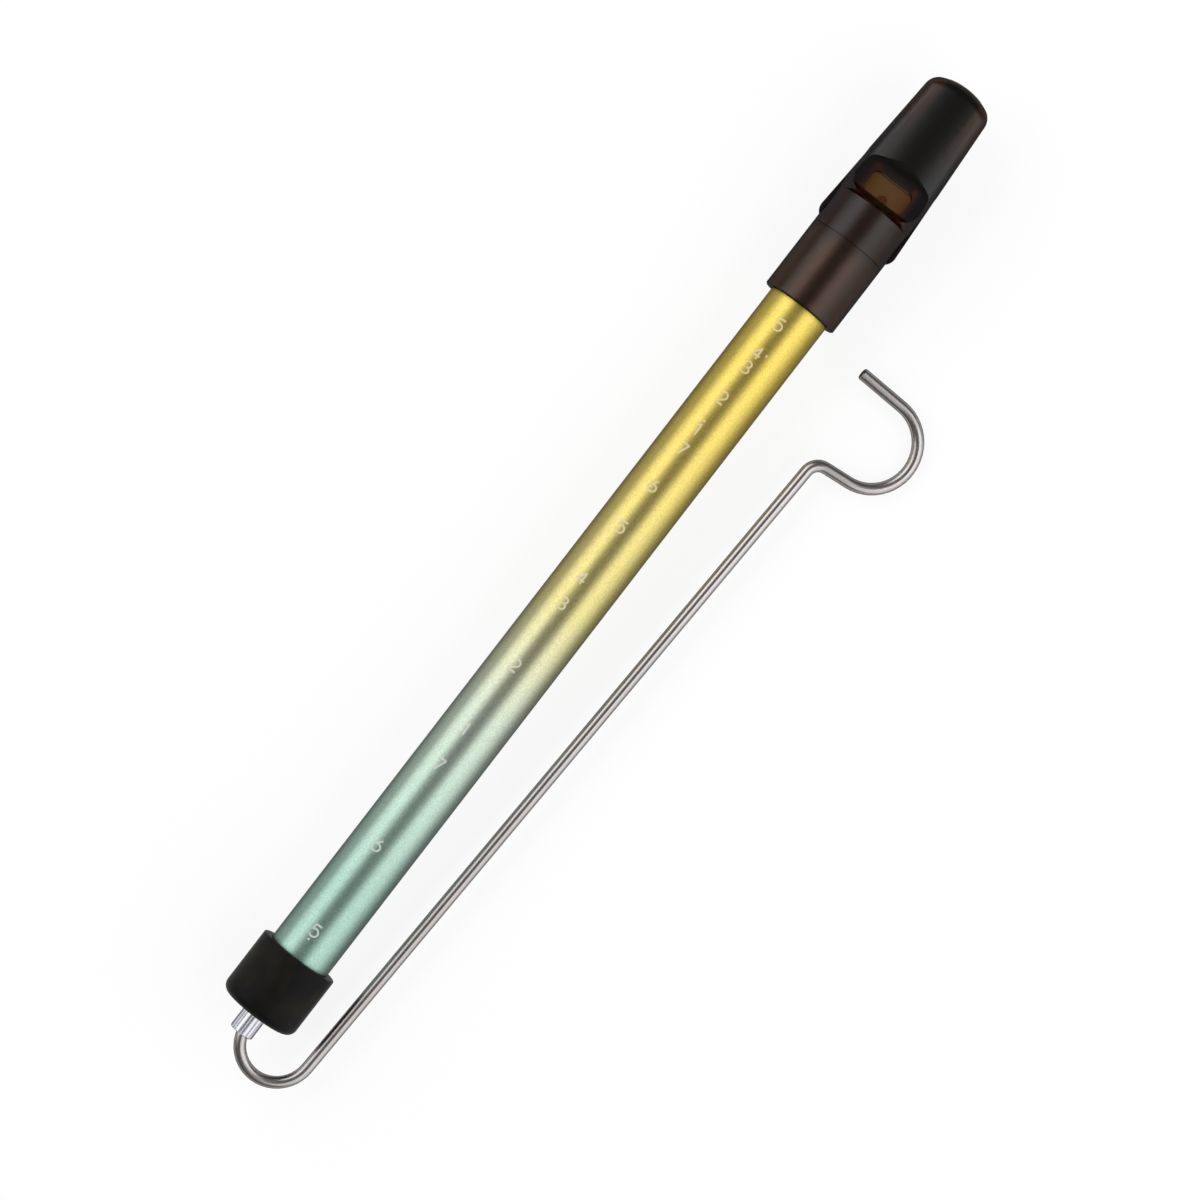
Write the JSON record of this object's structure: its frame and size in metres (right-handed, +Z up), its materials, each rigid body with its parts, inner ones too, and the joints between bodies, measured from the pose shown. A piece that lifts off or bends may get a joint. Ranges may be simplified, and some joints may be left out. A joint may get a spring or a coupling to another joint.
{
  "type": "slide whistle",
  "caption": "Slide whistle: anodised tube with a windowed beak mouthpiece, a soft end cap, and a bent wire slide whose finger hook moves a sealed piston along the tube.",
  "frame": {"origin": "centre of the bounding box, on the surface that the whistle lies on", "axes": "+X along the tube towards the mouthpiece, +Z up with the window on top, the slide lies towards -Y"},
  "size_m": [0.2872, 0.0566, 0.0203],
  "materials": {
    "smoked_plastic": "smoky, nearly opaque moulded plastic with a satin surface",
    "block_plastic": "dark moulded plastic",
    "anodised_tube": "bead-blasted and dyed, from gold at the mouthpiece to mint at the cap",
    "cap_rubber": "satin black",
    "bush_metal": "bright, with fine lengthwise splines",
    "bumper_felt": "pressed grey felt",
    "slide_wire": "satin drawn wire",
    "washer_brass": "plain",
    "piston_plastic": "pale turned plastic",
    "seal_rubber": "greased black rubber",
    "nut_steel": "plain"
  },
  "bodies": {
    "barrel": {"mouthpiece": "smoked_plastic", "fipple_block": "block_plastic", "tube": "anodised_tube", "end_cap": "cap_rubber", "guide_bush": "bush_metal", "felt_bumper": "bumper_felt"},
    "piston": {"piston_core": "piston_plastic", "rear_seal_ring": "seal_rubber", "front_seal_ring": "seal_rubber"},
    "slide": {"slide_rod": "slide_wire", "rear_washer": "washer_brass", "front_washer": "washer_brass", "piston_nut": "nut_steel"}
  },
  "joints": [
    {"name": "slide_travel", "type": "slide", "parent": "barrel", "child": "piston", "axis": [-1, 0, 0], "range_m": [0, 0.1824]},
    {"name": "slide_swivel", "type": "hinge", "parent": "piston", "child": "slide", "pos_m": [0.05943, 0.01738, 0.01017], "axis": [1, 0, 0], "continuous": true}
  ]
}
